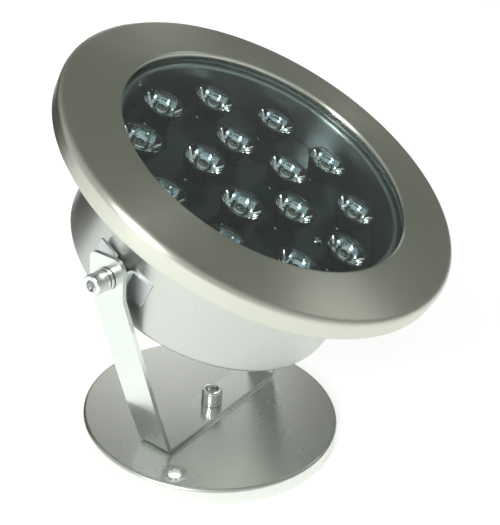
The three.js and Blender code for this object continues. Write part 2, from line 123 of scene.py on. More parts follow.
def arc(centre_r, centre_z, radius, start, end, steps=8):
    """Points of an arc in an outline, from one angle to another in degrees."""
    points = []
    for i in range(steps + 1):
        angle = math.radians(start + (end - start) * i / steps)
        points.append((centre_r + radius * math.cos(angle), centre_z + radius * math.sin(angle)))
    return points


def finished(bm, name, sharp=SHARP_DEG):
    """Turns a bmesh in millimetres into a smooth-shaded object in metres."""
    bmesh.ops.remove_doubles(bm, verts=bm.verts, dist=1e-5)
    bmesh.ops.recalc_face_normals(bm, faces=bm.faces)
    bmesh.ops.scale(bm, vec=(MM, MM, MM), verts=bm.verts)
    mesh = bpy.data.meshes.new(name)
    bm.to_mesh(mesh)
    bm.free()
    mesh.shade_smooth()
    mesh.set_sharp_from_angle(angle=math.radians(sharp))
    thing = bpy.data.objects.new(name, mesh)
    bpy.context.scene.collection.objects.link(thing)
    return thing


def even_normals(thing):
    """Keeps the shading of broad faces flat where they meet small rounds."""
    modifier = thing.modifiers.new("even", "WEIGHTED_NORMAL")
    modifier.keep_sharp = True
    return thing


def softened(thing, width, segments=3):
    """Rounds the edges of a sheet or block by a small bevel."""
    bevel = thing.modifiers.new("soft", "BEVEL")
    bevel.width = width * MM
    bevel.segments = segments
    bevel.limit_method = "ANGLE"
    bevel.angle_limit = math.radians(BEVEL_ANGLE_DEG)
    return even_normals(thing)


def applied(thing):
    """Makes the modifiers part of the mesh."""
    graph = bpy.context.evaluated_depsgraph_get()
    mesh = bpy.data.meshes.new_from_object(thing.evaluated_get(graph))
    thing.modifiers.clear()
    old = thing.data
    thing.data = mesh
    bpy.data.meshes.remove(old)
    return thing


def revolved(name, outline, sides=192, ring=True, sharp=SHARP_DEG):
    """Turns an outline of (radius, height) about Z. A ring's outline closes on itself."""
    bm = bmesh.new()
    rings = []
    for radius, height in outline:
        if radius < 1e-6:
            rings.append([bm.verts.new((0, 0, height))] * sides)
            continue
        turn = [2 * math.pi * k / sides for k in range(sides)]
        rings.append([bm.verts.new((radius * math.cos(a), radius * math.sin(a), height)) for a in turn])
    pairs = list(zip(rings, rings[1:]))
    if ring:
        pairs.append((rings[-1], rings[0]))
    for low, high in pairs:
        for k in range(sides):
            corners = [low[k], low[(k + 1) % sides], high[(k + 1) % sides], high[k]]
            distinct = list(dict.fromkeys(corners))
            if len(distinct) > 2:
                bm.faces.new(distinct)
    return even_normals(finished(bm, name, sharp))


def tube(name, inner, outer, bottom, top, sides=96, edge=0.2):
    """A ring with small rounded edges."""
    edge = min(edge, (outer - inner) / 3, (top - bottom) / 3)
    outline = [
        *arc(inner + edge, bottom + edge, edge, 180, 270, 3),
        *arc(outer - edge, bottom + edge, edge, 270, 360, 3),
        *arc(outer - edge, top - edge, edge, 0, 90, 3),
        *arc(inner + edge, top - edge, edge, 90, 180, 3),
    ]
    return revolved(name, outline, sides)


def prism(name, outline, bottom, top):
    """A flat outline of (x, y) raised along Z."""
    bm = bmesh.new()
    low = [bm.verts.new((x, y, bottom)) for x, y in outline]
    high = [bm.verts.new((x, y, top)) for x, y in outline]
    bm.faces.new(low)
    bm.faces.new(high)
    for k in range(len(outline)):
        j = (k + 1) % len(outline)
        bm.faces.new((low[k], low[j], high[j], high[k]))
    return finished(bm, name)


def hexagon(corner_r):
    """Corners of a hexagon, as (x, y)."""
    return [(corner_r * math.cos(math.pi * k / 3), corner_r * math.sin(math.pi * k / 3)) for k in range(6)]


def minus(thing, *cutters, operation="DIFFERENCE"):
    """Cuts the cutters out of a piece, or keeps what is common, and applies the result."""
    for cutter in cutters:
        modifier = thing.modifiers.new("cut", "BOOLEAN")
        modifier.operation = operation
        modifier.solver = "EXACT"
        modifier.object = cutter
    applied(thing)
    for cutter in cutters:
        bpy.data.objects.remove(cutter)
    thing.data.set_sharp_from_angle(angle=math.radians(SHARP_DEG))
    return thing


def drill(radius, bottom, top, sides=64):
    """A solid cylinder to cut a hole with."""
    return revolved("drill", [(0, bottom), (radius, bottom), (radius, top), (0, top)], sides, ring=False)


def bent_path(corners, radii, steps=10):
    """Points along a path with rounded corners, each with its unit normal to the left."""
    path = [Vector(corner) for corner in corners]

    def left_of(direction):
        return Vector((-direction.y, direction.x))

    stations = [(path[0], left_of((path[1] - path[0]).normalized()))]
    for i in range(1, len(path) - 1):
        into = (path[i] - path[i - 1]).normalized()
        out = (path[i + 1] - path[i]).normalized()
        turn = math.atan2(into.x * out.y - into.y * out.x, into.dot(out))
        side = math.copysign(1, turn)
        start = path[i] - into * radii[i - 1] * math.tan(abs(turn) / 2)
        centre = start + left_of(into) * radii[i - 1] * side
        for k in range(steps + 1):
            normal = left_of(into)
            normal.rotate(Matrix.Rotation(turn * k / steps, 2))
            stations.append((centre - normal * radii[i - 1] * side, normal))
    stations.append((path[-1], left_of((path[-1] - path[-2]).normalized())))
    return stations


def bent_strip(name, stations, spans, thickness):
    """Sheet along a path in X and Z, which reaches in Y over the span given for each station."""
    bm = bmesh.new()
    loops = []
    for (point, normal), (low, high) in zip(stations, spans):
        loop = []
        for side, y in ((1, low), (1, high), (-1, high), (-1, low)):
            edge = point + normal * side * thickness / 2
            loop.append(bm.verts.new((edge.x, y, edge.y)))
        loops.append(loop)
    for low, high in zip(loops, loops[1:]):
        for k in range(4):
            bm.faces.new((low[k], low[(k + 1) % 4], high[(k + 1) % 4], high[k]))
    bm.faces.new(loops[0])
    bm.faces.new(loops[-1])
    return finished(bm, name, SHEET_SHARP_DEG)


def placed(thing, matrix):
    """Bakes a placement into the mesh, still in millimetres of its own frame."""
    thing.data.transform(matrix)
    return thing


# ---- node materials ----

class Material:
    """A Principled material with short calls for the nodes that drive it."""

    def __init__(self, name, colour, roughness, metallic=0.0, **sockets):
        self.material = bpy.data.materials.new(name)
        self.material.use_nodes = True
        self.nodes = self.material.node_tree.nodes
        self.links = self.material.node_tree.links
        self.shader = self.nodes["Principled BSDF"]
        self.shader.inputs["Base Color"].default_value = (*colour, 1)
        self.shader.inputs["Roughness"].default_value = roughness
        self.shader.inputs["Metallic"].default_value = metallic
        for socket, value in sockets.items():
            self.shader.inputs[socket.replace("_", " ")].default_value = value

    def add(self, kind, inputs=(), **settings):
        """A new node. Each of its inputs is given a value, or the output that feeds it."""
        node = self.nodes.new(kind)
        for key, value in settings.items():
            setattr(node, key, value)
        for key, value in dict(inputs).items():
            if isinstance(value, bpy.types.NodeSocket):
                self.links.new(value, node.inputs[key])
            else:
                node.inputs[key].default_value = value
        return node

    def math(self, operation, a, b=0.0):
        """The result of a sum on one or two values."""
        return self.add("ShaderNodeMath", {0: a, 1: b}, operation=operation).outputs[0]

    def place(self):
        """Object coordinates in metres, whole and split into x, y and z."""
        coordinates = self.add("ShaderNodeTexCoord").outputs["Object"]
        return coordinates, self.add("ShaderNodeSeparateXYZ", {0: coordinates}).outputs

    def stretched(self, vector, scale):
        """A vector scaled by a different amount along each axis."""
        return self.add("ShaderNodeVectorMath", {0: vector, 1: scale}, operation="MULTIPLY").outputs[0]

    def noise(self, vector, scale, detail=3.0, w=None):
        """Noise between 0 and 1, in four dimensions where w is given."""
        settings = {} if w is None else {"noise_dimensions": "4D"}
        inputs = {"Vector": vector, "Scale": scale, "Detail": detail, "Roughness": 0.6}
        if w is not None:
            inputs["W"] = w
        return self.add("ShaderNodeTexNoise", inputs, **settings).outputs[0]

    def span(self, value, low, high, start=0.3, end=0.7):
        """Maps a value from start..end to low..high."""
        inputs = {"Value": value, "From Min": start, "From Max": end, "To Min": low, "To Max": high}
        return self.add("ShaderNodeMapRange", inputs).outputs[0]

    def blend(self, factor, first, second):
        """A colour between two, by a factor."""
        node = self.add("ShaderNodeMix", {"Factor": factor}, data_type="RGBA")
        node.inputs[6].default_value = (*first, 1)
        node.inputs[7].default_value = (*second, 1)
        return node.outputs[2]

    def drive(self, socket, value):
        """Feeds one of the shader's inputs."""
        self.links.new(value, self.shader.inputs[socket])

    def bump(self, height, strength, distance):
        """Tilts the shader's normal by a height. distance is in metres."""
        inputs = {"Height": height, "Strength": strength, "Distance": distance}
        self.drive("Normal", self.add("ShaderNodeBump", inputs).outputs[0])


PATCH_SCALE = 45.0  # per metre, for the broad unevenness of handled steel
GRAIN_SCALE = 4200.0  # per metre, across the lines of brushing
GRAIN_DEPTH = 4e-5  # in metres


def steel(name, light, dark, roughness, grain, depth=GRAIN_DEPTH, unevenness=0.03, **sockets):
    """Stainless steel. grain(material, place, parts) gives the height of its brushing.

    depth is the brushing's depth in metres, and unevenness the swing of the roughness to either side.
    """
    material = Material(name, light, roughness, 1.0, **sockets)
    place, parts = material.place()
    streaks = grain(material, place, parts)
    patches = material.noise(place, PATCH_SCALE, 2.0)
    fine, broad = material.math("MULTIPLY", streaks, 0.7), material.math("MULTIPLY", patches, 0.3)
    tone = material.math("ADD", fine, broad)
    material.drive("Base Color", material.blend(material.span(tone, 0.0, 1.0), dark, light))
    rough = material.span(streaks, roughness - unevenness, roughness + unevenness)
    rough = material.math("ADD", rough, material.span(patches, -unevenness, unevenness))
    material.drive("Roughness", rough)
    material.bump(streaks, 0.15, depth)
    return material


def turned_grain(material, place, parts):
    """Fine lines that run round the Z axis, broken up along their length."""
    breaks = 22.0
    x_squared, y_squared = (material.math("MULTIPLY", part, part) for part in parts[:2])
    radius = material.math("SQRT", material.math("ADD", x_squared, y_squared))
    outward = material.add("ShaderNodeVectorMath", {0: place}, operation="NORMALIZE").outputs[0]
    along = material.add("ShaderNodeSeparateXYZ", {0: outward}).outputs
    lines = material.add("ShaderNodeCombineXYZ", {
        0: material.math("MULTIPLY", radius, GRAIN_SCALE),
        1: material.math("MULTIPLY", parts[2], GRAIN_SCALE),
        2: material.math("MULTIPLY", along[0], breaks),
    }).outputs[0]
    return material.noise(lines, 1.0, 2.0, w=material.math("MULTIPLY", along[1], breaks))


def long_grain(axis):
    """Fine lines along one axis of the piece."""
    scale = [GRAIN_SCALE] * 3
    scale[axis] = 160.0

    def grain(material, place, _):
        return material.noise(material.stretched(place, scale), 1.0, 2.0)

    return grain


def soft_grain(material, place, _):
    """A faint unevenness without direction, as on pressed and polished sheet."""
    return material.noise(place, 220.0, 2.0)


def turned_steel(name, light, dark, roughness, anisotropic):
    """Lathe-turned steel: its gloss is drawn out across the grooves, which run round Z."""
    material = steel(name, light, dark, roughness, turned_grain,
                     Anisotropic=anisotropic, Anisotropic_Rotation=0.25)
    round_z = material.add("ShaderNodeTangent", direction_type="RADIAL", axis="Z").outputs[0]
    material.drive("Tangent", round_z)
    return material


# Each steel has its lighter and darker colour, then its roughness, then what sets its brushing or its gloss.
CUP_STEEL = turned_steel("turned_stainless", (0.54, 0.565, 0.53), (0.50, 0.525, 0.49), 0.31, 0.80)
BEZEL_STEEL = turned_steel("bezel_stainless", (0.60, 0.62, 0.54), (0.55, 0.57, 0.49), 0.33, 0.80)
RING_STEEL = turned_steel("ring_stainless", (0.46, 0.52, 0.51), (0.40, 0.45, 0.44), 0.34, 0.6)
FOOT_STEEL = steel("foot_stainless", (0.68, 0.70, 0.66), (0.66, 0.68, 0.64), 0.27, soft_grain, 0.0, 0.004)
EAR_STEEL = steel("ear_stainless", (0.56, 0.60, 0.60), (0.50, 0.54, 0.54), 0.45, long_grain(0))
STRIP_STEEL = steel("strip_stainless", (0.68, 0.725, 0.695), (0.64, 0.68, 0.65), 0.22, long_grain(0))
BRIGHT_STEEL = steel("bright_stainless", (0.72, 0.74, 0.73), (0.64, 0.66, 0.65), 0.18, long_grain(2), 8e-6)


def glass_material():
    """The pane's glass, with a trace of haze."""
    material = Material("tempered_glass", (0.86, 0.955, 0.955), 0.0, Transmission_Weight=1.0, IOR=1.5)
    place, _ = material.place()
    material.drive("Roughness", material.span(material.noise(place, 60.0), 0.0, 0.02))
    return material


def lens_material():
    """Clear moulded plastic for the lenses."""
    material = Material("clear_lens", (0.95, 0.985, 0.99), 0.0, Transmission_Weight=1.0, IOR=1.49)
    place, _ = material.place()
    material.drive("Roughness", material.span(material.noise(place, 300.0), 0.0, 0.03))
    return material


def moulded_material(name, colour, roughness, grain_scale, depth):
    """Rubber, moulding, solder mask or phosphor, told apart by colour, gloss and grain."""
    material = Material(name, colour, roughness)
    place, _ = material.place()
    grain = material.noise(place, grain_scale, 4.0)
    lighter = tuple(channel * 1.3 + 0.004 for channel in colour)
    material.drive("Base Color", material.blend(material.span(grain, 0.0, 1.0), colour, lighter))
    material.drive("Roughness", material.span(grain, roughness - 0.05, roughness + 0.08))
    material.bump(grain, 0.2, depth)
    return material


GLASS = glass_material()
LENS = lens_material()
SILICONE = moulded_material("clear_silicone", (0.55, 0.58, 0.56), 0.35, 900.0, 0.0001)
RUBBER = moulded_material("black_rubber", (0.018, 0.018, 0.018), 0.65, 900.0, 0.0002)
PLASTIC = moulded_material("black_plastic", (0.012, 0.013, 0.014), 0.3, 1500.0, 0.0001)
MASK = moulded_material("board_mask", (0.016, 0.040, 0.044), 0.10, 60.0, 0.0)
GREEN_MASK = moulded_material("green_mask", (0.02, 0.09, 0.04), 0.35, 700.0, 0.0001)
SOLDER = steel("solder", (0.84, 0.85, 0.86), (0.70, 0.71, 0.73), 0.2, long_grain(0))
ALUMINIUM = steel("bare_aluminium", (0.70, 0.71, 0.72), (0.60, 0.61, 0.62), 0.35, long_grain(0))
MIRROR = steel("lens_mirror", (0.86, 0.93, 0.95), (0.78, 0.85, 0.87), 0.12, long_grain(2), 5e-6)
PHOSPHOR = moulded_material("phosphor", (0.75, 0.72, 0.50), 0.4, 1200.0, 0.0001)


def dressed(thing, material, body, matrix, slot_name, *nodes):
    """Gives a piece its material and place, sets it on its body, and hides the CAD nodes it stands for.
    slot_name is not used.
    """
    thing.data.materials.clear()
    thing.data.materials.append(material.material)
    thing.matrix_world = matrix
    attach(thing, body)
    if nodes:
        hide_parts(*nodes)
    return thing


def in_head(thing, material, slot_name, *nodes):
    """Dresses a piece of the head that is drawn in the head's own frame."""
    return dressed(thing, material, "head", HEAD, slot_name, *nodes)


# ---- foot and bracket ----

def foot_plate():
    """Pressed foot with a skirt, and a flat seat round each of its two screw holes."""
    under = FOOT_H - FOOT_SHEET
    inside = FOOT_R - FOOT_SHEET
    plate = revolved("base_plate_fine", [
        (M6_BORE, under), *arc(inside - 0.6, under - 0.6, 0.6, 90, 0, 4), (inside, 0.3),
        *arc(FOOT_R - 1.0, 0.3, 0.3, 180, 270, 3), *arc(FOOT_R - 0.3, 0.3, 0.3, 270, 360, 3),
        *arc(FOOT_R - FOOT_EDGE_R, FOOT_H - FOOT_EDGE_R, FOOT_EDGE_R, 0, 90, 8), (M6_BORE, FOOT_H),
    ], 256)
    tools = []
    for turn in (0, math.pi):
        angle = math.radians(SCREW_HOLE_DEG) + turn
        offset = Vector((SCREW_CIRCLE_R * math.cos(angle), SCREW_CIRCLE_R * math.sin(angle), 0)) * MM
        hole = drill(SCREW_HOLE_R, 3, FOOT_H + 1)
        seat = drill(SCREW_SEAT_R, FOOT_H - SCREW_SEAT_DEPTH, FOOT_H + 1)
        tools += [placed(tool, Matrix.Translation(offset)) for tool in (hole, seat)]
    minus(applied(plate), *tools)
    even_normals(plate)
    return dressed(plate, FOOT_STEEL, "base", FOOT, "brushed_stainless", "base_plate")


def corner_inset(above_pivot, radius):
    """How far a rounded corner of the arm's end draws in, at a height above the pivot."""
    beyond = max(0.0, above_pivot - (ARM_END - radius))
    return radius - math.sqrt(max(radius ** 2 - beyond ** 2, 0.0))


def arm_span(point):
    """The strip's reach in Y at a point of its path, drawn in at the round corners of its ends."""
    above = point.y - PIVOT_Z
    half = STRIP_W / 2
    return corner_inset(above, ARM_FRONT_CORNER_R) - half, half - corner_inset(above, ARM_REAR_CORNER_R)


def bracket():
    """One strip bent into a U, round-cornered at its ends and leaning slightly back."""
    strip_z = STRIP_BOTTOM + STRIP_T / 2
    right = [(STRIP_FOLD_X, strip_z), ARM_KNEE, (ARM_CENTRE_X, ARM_TOP_FOLD_Z), (ARM_CENTRE_X, PIVOT_Z)]
    left = [(-x, z) for x, z in reversed(right)]
    stations = bent_path(left + right, (ARM_BEND_R, ARM_BEND_R, FOLD_R, FOLD_R, ARM_BEND_R, ARM_BEND_R))
    steps = 24
    rise = [ARM_END * math.sin(math.pi / 2 * k / steps) for k in range(1, steps + 1)]
    (start, start_normal), (end, end_normal) = stations[0], stations[-1]
    top_left = [(Vector((start.x, PIVOT_Z + z)), start_normal) for z in reversed(rise)]
    top_right = [(Vector((end.x, PIVOT_Z + z)), end_normal) for z in rise]
    stations = top_left + stations + top_right
    strip = bent_strip("bracket_fine", stations, [arm_span(point) for point, _ in stations], STRIP_T)
    softened(strip, 0.3)
    applied(strip)
    reach = ARM_CENTRE_X + 4
    across = Matrix.Translation((0, 0, PIVOT_Z * MM)) @ ALONG_X
    pivots = placed(drill(M5_BORE, -reach, reach), across)
    minus(strip, pivots, drill(M6_BORE, FOOT_H - 2, FOOT_H + 4))
    lean = (PIVOT.y - PAN.y) / (PIVOT.z - strip_z * MM)
    leaning = Matrix(((1, 0, 0, 0), (0, 1, lean, -lean * strip_z * MM), (0, 0, 1, 0), (0, 0, 0, 1)))
    placed(strip, leaning)
    return dressed(even_normals(strip), STRIP_STEEL, "bracket", FOOT, "pale_stainless", "bracket")


# ---- fasteners, standing along Z ----

def cap_screw(name, shank, head_r, head_h, socket, length):
    """Socket-head screw with a knurled side, its head's underside at z = 0."""
    flutes, flute_depth = 40, 0.07
    body = revolved(name, [
        (0, -length), (shank - 0.5, -length), (shank, -length + 0.5), (shank, -0.01), (head_r - 0.15, 0),
        (head_r, 0.2), (head_r, head_h - 0.9), *arc(head_r - 0.7, head_h - 0.7, 0.7, 10, 90, 5),
        (socket * 1.3, head_h), (socket * 1.22, head_h - 0.1), (0, head_h - 0.1),
    ], flutes * 4, ring=False)
    for vertex in body.data.vertices:
        x, y, z = vertex.co
        if math.hypot(x, y) > (head_r - 0.02) * MM:
            depth = flute_depth * (0.5 + 0.5 * math.cos(flutes * math.atan2(y, x)))
            factor = 1 - depth / head_r
            vertex.co = (x * factor, y * factor, z)
    corner_r = socket / math.cos(math.pi / 6)
    return even_normals(minus(applied(body), prism("socket", hexagon(corner_r), head_h * 0.45, head_h + 1)))


def split_washer(name, bore, outer, thickness, lift):
    """Spring washer: one square-section turn, cut, with its ends sprung apart by lift."""
    bm = bmesh.new()
    steps = 72
    gap = math.radians(7)
    loops = []
    for k in range(steps + 1):
        angle = gap / 2 + (2 * math.pi - gap) * k / steps
        rise = lift * (k / steps - 0.5)
        loop = []
        for radius, height in ((bore, 0), (outer, 0), (outer, thickness), (bore, thickness)):
            loop.append(bm.verts.new((radius * math.cos(angle), radius * math.sin(angle), height + rise)))
        loops.append(loop)
    for low, high in zip(loops, loops[1:]):
        for k in range(4):
            bm.faces.new((low[k], low[(k + 1) % 4], high[(k + 1) % 4], high[k]))
    bm.faces.new(loops[0])
    bm.faces.new(loops[-1])
    return softened(finished(bm, name, SHEET_SHARP_DEG), 0.12, 2)


def hex_nut(name, bore, corner_r, height):
    """Hexagonal nut with both faces chamfered."""
    flat_r = corner_r * math.cos(math.pi / 6)
    outer = corner_r + 0.2
    blank = prism(name, hexagon(corner_r), 0, height)
    cone = revolved("cone", [
        (0, 0), (flat_r, 0), (outer, 0.5), (outer, height - 0.5), (flat_r, height), (0, height),
    ], 96, ring=False)
    minus(blank, applied(cone), operation="INTERSECT")
    return even_normals(minus(blank, drill(bore, -1, height + 1, 48)))


def on_bolt(thing, z, node):
    """Sets a piece on the foot's centre bolt at a height in millimetres."""
    matrix = FOOT @ Matrix.Translation((0, 0, z * MM))
    return dressed(thing, BRIGHT_STEEL, "base", matrix, "bright_stainless", node)


def centre_stack():
    """The spring washer, bolt and nut that clamp the bracket on the foot."""
    def low(node):
        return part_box(node)[0].z / MM

    spring, bolt, nut = (low(f"base_{part}") for part in ("spring_washer", "bolt", "nut"))
    washer = split_washer("base_spring_washer_fine", M6_BORE, M6_SPRING_R, SPRING_WASHER_T, 0.1)
    on_bolt(washer, spring, "base_spring_washer")
    head_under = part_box("base_bolt")[1].z / MM - M6["head_h"]
    on_bolt(cap_screw("base_bolt_fine", **M6, length=head_under - bolt), head_under, "base_bolt")
    on_bolt(hex_nut("base_nut_fine", M6_BORE, M6_NUT_R, M6_NUT_H), nut, "base_nut")


# ---- head shell and window ----

def bezel():
    """Ring with a rolled lip at the window, a crowned face, and a hem under the flange."""
    wall_in = BEZEL_R - BEZEL_SHEET
    shoulder_r = BEZEL_R - BEZEL_SHOULDER_R
    shoulder_z = BEZEL_SHOULDER - BEZEL_SHOULDER_R
    under = BEZEL_SHOULDER - BEZEL_SHEET
    lip_r = WINDOW_R + LIP_R
    hem_top, hem_in = HEM_END + 1.2, HEM_R - 1.2
    face = []
    face_steps = 9
    for k in range(1, face_steps):
        t = k / face_steps
        rise = BEZEL_SHOULDER + (BEZEL_CROWN - BEZEL_SHOULDER) * (1 - (1 - t) ** 2)
        face.append((shoulder_r + (lip_r - shoulder_r) * t, rise))
    ring = revolved("bezel_fine", [
        (HEM_INNER_R, HEM_END), *arc(HEM_R - 0.7, HEM_END + 0.7, 0.7, 270, 360, 5), (HEM_R, WALL_END - 0.6),
        *arc(BEZEL_R - 0.6, WALL_END + 0.5, 0.6, 290, 360, 4),
        *arc(shoulder_r, shoulder_z, BEZEL_SHOULDER_R, 0, 90, 12), *face,
        *arc(lip_r, BEZEL_CROWN - LIP_R, LIP_R, 90, 215, 12),
        (lip_r, under), (shoulder_r, under), (wall_in, under - 1.4), (wall_in, WALL_END + 1),
        (hem_in, WALL_END + 0.4), (hem_in, hem_top), (HEM_INNER_R, hem_top),
    ], 320)
    return in_head(ring, BEZEL_STEEL, "brushed_stainless", "bezel")


def housing():
    """The drawn cup, and the flange round its mouth that the bezel grips."""
    inner, floor = CUP_R - CUP_SHEET, CUP_REAR + CUP_SHEET
    top, hole = FLANGE_Z + CUP_SHEET, GLAND_NECK_R + 0.3
    inner_edge = CUP_EDGE_R - CUP_SHEET
    cup = revolved("housing_fine", [
        (hole, CUP_REAR), *arc(CUP_R - CUP_EDGE_R, CUP_REAR + CUP_EDGE_R, CUP_EDGE_R, -90, 0, 10),
        (CUP_R, top), *arc(inner + 1, top - 1, 1, 90, 180, 4),
        *arc(inner - inner_edge, floor + inner_edge, inner_edge, 0, -90, 5), (hole, floor),
    ], 256)
    in_head(cup, CUP_STEEL, "brushed_stainless", "housing")
    seam, fillet = CUP_R + 0.03, 1.5
    flange = revolved("rim_flange_fine", [
        (seam, top), (seam, FLANGE_Z - fillet), *arc(seam + fillet, FLANGE_Z - fillet, fillet, 175, 90, 6),
        (FLANGE_R, FLANGE_Z), (FLANGE_R, top),
    ], 256)
    in_head(flange, CUP_STEEL, "brushed_stainless", "rim_flange")


def window():
    """The pane, and the U-section gasket round its edge."""
    top = GLASS_BOTTOM + GLASS_T
    gasket_top = BEZEL_SHOULDER - BEZEL_SHEET - 0.1
    edge = 0.4
    pane = revolved("glass_fine", [
        (0, GLASS_BOTTOM), *arc(GLASS_R - edge, GLASS_BOTTOM + edge, edge, 270, 360, 3),
        *arc(GLASS_R - edge, top - edge, edge, 0, 90, 3), (0, top),
    ], 192, ring=False)
    in_head(pane, GLASS, "tempered_glass", "glass")
    seat = FLANGE_Z + CUP_SHEET + 0.3
    channel_r = GLASS_R + 0.3
    over, below = top + 0.1, GLASS_BOTTOM - 0.1
    gasket = revolved("window_gasket_fine", [
        *arc(GASKET_INNER_R + 0.2, seat + 0.2, 0.2, 180, 270, 3), (GASKET_R, seat), (GASKET_R, gasket_top),
        *arc(GASKET_INNER_R + 0.3, gasket_top - 0.3, 0.3, 90, 180, 3), (GASKET_INNER_R, over),
        (channel_r, over), (channel_r, below), (GASKET_INNER_R, below),
    ], 192)
    in_head(gasket, SILICONE, "clear_silicone", "window_gasket")


def inner_ring():
    """Trim ring with a flange under the pane, and the sleeve below it down to the board."""
    inner, rolled = RING_R - RING_T, FLANGE_Z + CUP_SHEET + 0.3
    ring = revolved("inner_ring_fine", [
        (inner, RING_BOTTOM), (RING_R, RING_BOTTOM), (RING_R, rolled - 1.0),
        *arc(RING_R + 0.7, rolled - 0.7, 0.7, 180, 90, 4),
        (RING_FLANGE_R, rolled), (RING_FLANGE_R, rolled + 0.8),
        *arc(inner + 1.6, rolled - 0.8, 1.6, 90, 180, 10),
    ], 192)
    in_head(ring, RING_STEEL, "brushed_stainless", "inner_ring")
    sleeve = tube("board_sleeve", inner, RING_R, BOARD_TOP + 0.1, RING_BOTTOM - 0.05, 192, 0.03)
    in_head(sleeve, RING_STEEL, "brushed_stainless")


# ---- light engine ----

def led_places():
    """The middle of each LED on the board, ring by ring."""
    centre_x, centre_y = LED_CENTRE
    places = []
    for count, radius, start in LED_RINGS:
        for k in range(count):
            angle = math.radians(start + 360 * k / count)
            places.append((centre_x + radius * math.cos(angle), centre_y + radius * math.sin(angle)))
    return places


def lens_outline():
    """Collimator: a domed cavity over the chip, a curved side, a flanged face and a well."""
    foot = BOARD_TOP + 2.4
    neck_r, shoulder_r, shoulder_z = 4.0, LENS_R - 0.5, LENS_FACE - 0.9
    cavity_r, well_r, well_z = 2.6, 2.7, LENS_FACE - 3.0
    side = []
    side_steps = 12
    for k in range(1, side_steps):
        t = k / side_steps
        side.append((neck_r + (shoulder_r - neck_r) * t ** 0.8, foot + (shoulder_z - foot) * t))
    cavity = [(cavity_r * math.sin(a), foot + 1.8 + 0.8 * math.cos(a)) for a in (0.5, 1.0, 1.5)]
    well = [(well_r * math.cos(a), well_z + 0.7 * math.sin(a)) for a in (0.5, 1.0)]
    return [
        (0, foot + 2.6), *cavity, (2.8, foot), (neck_r, foot), *side,
        (shoulder_r, shoulder_z), (LENS_R, LENS_FACE - 0.8),
        *arc(LENS_R - 0.25, LENS_FACE - 0.25, 0.25, 0, 90, 3),
        (3.4, LENS_FACE), (3.0, LENS_FACE - 0.4), (well_r, well_z), *well, (0, LENS_FACE - 2.3),
    ]


def holder_outline():
    """Thin black cone, open at both ends, with a rounded rim round the lens."""
    foot, rim = BOARD_TOP + 0.3, LENS_FACE - 0.4
    return [
        (HOLDER_FOOT_R - 0.8, foot), (HOLDER_FOOT_R, foot), (HOLDER_R, rim - 0.4),
        *arc(HOLDER_R - 0.25, rim - 0.25, 0.25, 0, 90, 3),
        (LENS_R + 0.3, rim), (LENS_R + 0.2, rim - 0.6),
    ]


def mirror_outline():
    """Thin bright cone that follows the lens's side, between it and its holder."""
    clearance, thickness = 0.14, 0.12
    side = [(r, z) for r, z in lens_outline() if 4.1 < r < LENS_R - 0.9 and z < LENS_FACE - 1.2]
    near = [(radius + clearance, height) for radius, height in side]
    return near + [(radius + thickness, height) for radius, height in reversed(near)]


def optics():
    """A lens, its holder and the bright cone between them, over each LED."""
    for number, (x, y) in enumerate(led_places(), 1):
        matrix = HEAD @ Matrix.Translation((x * MM, y * MM, 0))
        lens = revolved(f"lens_fine_{number:02d}", lens_outline(), 64, ring=False, sharp=25)
        dressed(lens, LENS, "head", matrix, "clear_lens", f"lens_{number:02d}")
        holder = revolved(f"lens_holder_fine_{number:02d}", holder_outline(), 64)
        dressed(holder, PLASTIC, "head", matrix, "black_plastic", f"lens_holder_{number:02d}")
    mirrors = [shifted(revolved("mirror", mirror_outline(), 64), x, y) for x, y in led_places()]
    in_head(merged("lens_mirrors", mirrors), MIRROR, "bright_stainless")


def merged(name, things):
    """Joins several meshes into one piece."""
    bm = bmesh.new()
    for thing in things:
        bm.from_mesh(applied(thing).data)
        bpy.data.objects.remove(thing)
    mesh = bpy.data.meshes.new(name)
    bm.to_mesh(mesh)
    bm.free()
    mesh.shade_smooth()
    mesh.set_sharp_from_angle(angle=math.radians(SHARP_DEG))
    piece = bpy.data.objects.new(name, mesh)
    bpy.context.scene.collection.objects.link(piece)
    return piece


def shifted(thing, x, y, z=0.0):
    """Moves the mesh by millimetres."""
    return placed(thing, Matrix.Translation((x * MM, y * MM, z * MM)))


def block(name, width, depth, height, edge):
    """A box that stands on z = 0, with its edges rounded."""
    half_w, half_d = width / 2, depth / 2
    outline = [(-half_w, -half_d), (half_w, -half_d), (half_w, half_d), (-half_w, half_d)]
    return softened(prism(name, outline, 0, height), edge, 2)


def emitter_parts(x, y):
    """One LED: its round body, its clear dome, and its two flat leads soldered to the board."""
    body_outline = [(0, 0.2), (3.6, 0.2), (3.8, 0.4), (3.8, 1.5), (3.5, 1.8), (0, 1.8)]
    dome_outline = [(0, 1.8), (2.4, 1.8), *arc(0, 1.8, 2.4, 8, 82, 7), (0, 4.2)]
    joint_outline = [(0, 0), (1.0, 0), (0.95, 0.2), (0.6, 0.5), (0.25, 0.62), (0, 0.65)]
    lead_x, joint_x = 5.5, 6.7
    body = revolved("body", body_outline, 48, ring=False)
    dome = revolved("dome", dome_outline, 32, ring=False)
    leads = [shifted(block("lead", 3.4, 1.5, 0.25, 0.08), side * lead_x, 0) for side in (-1, 1)]
    joints = []
    for side in (-1, 1):
        joints.append(shifted(revolved("joint", joint_outline, 24, ring=False), side * joint_x, 0))
    groups = [body], [dome], leads + joints
    return [[shifted(thing, x, y, BOARD_TOP) for thing in group] for group in groups]


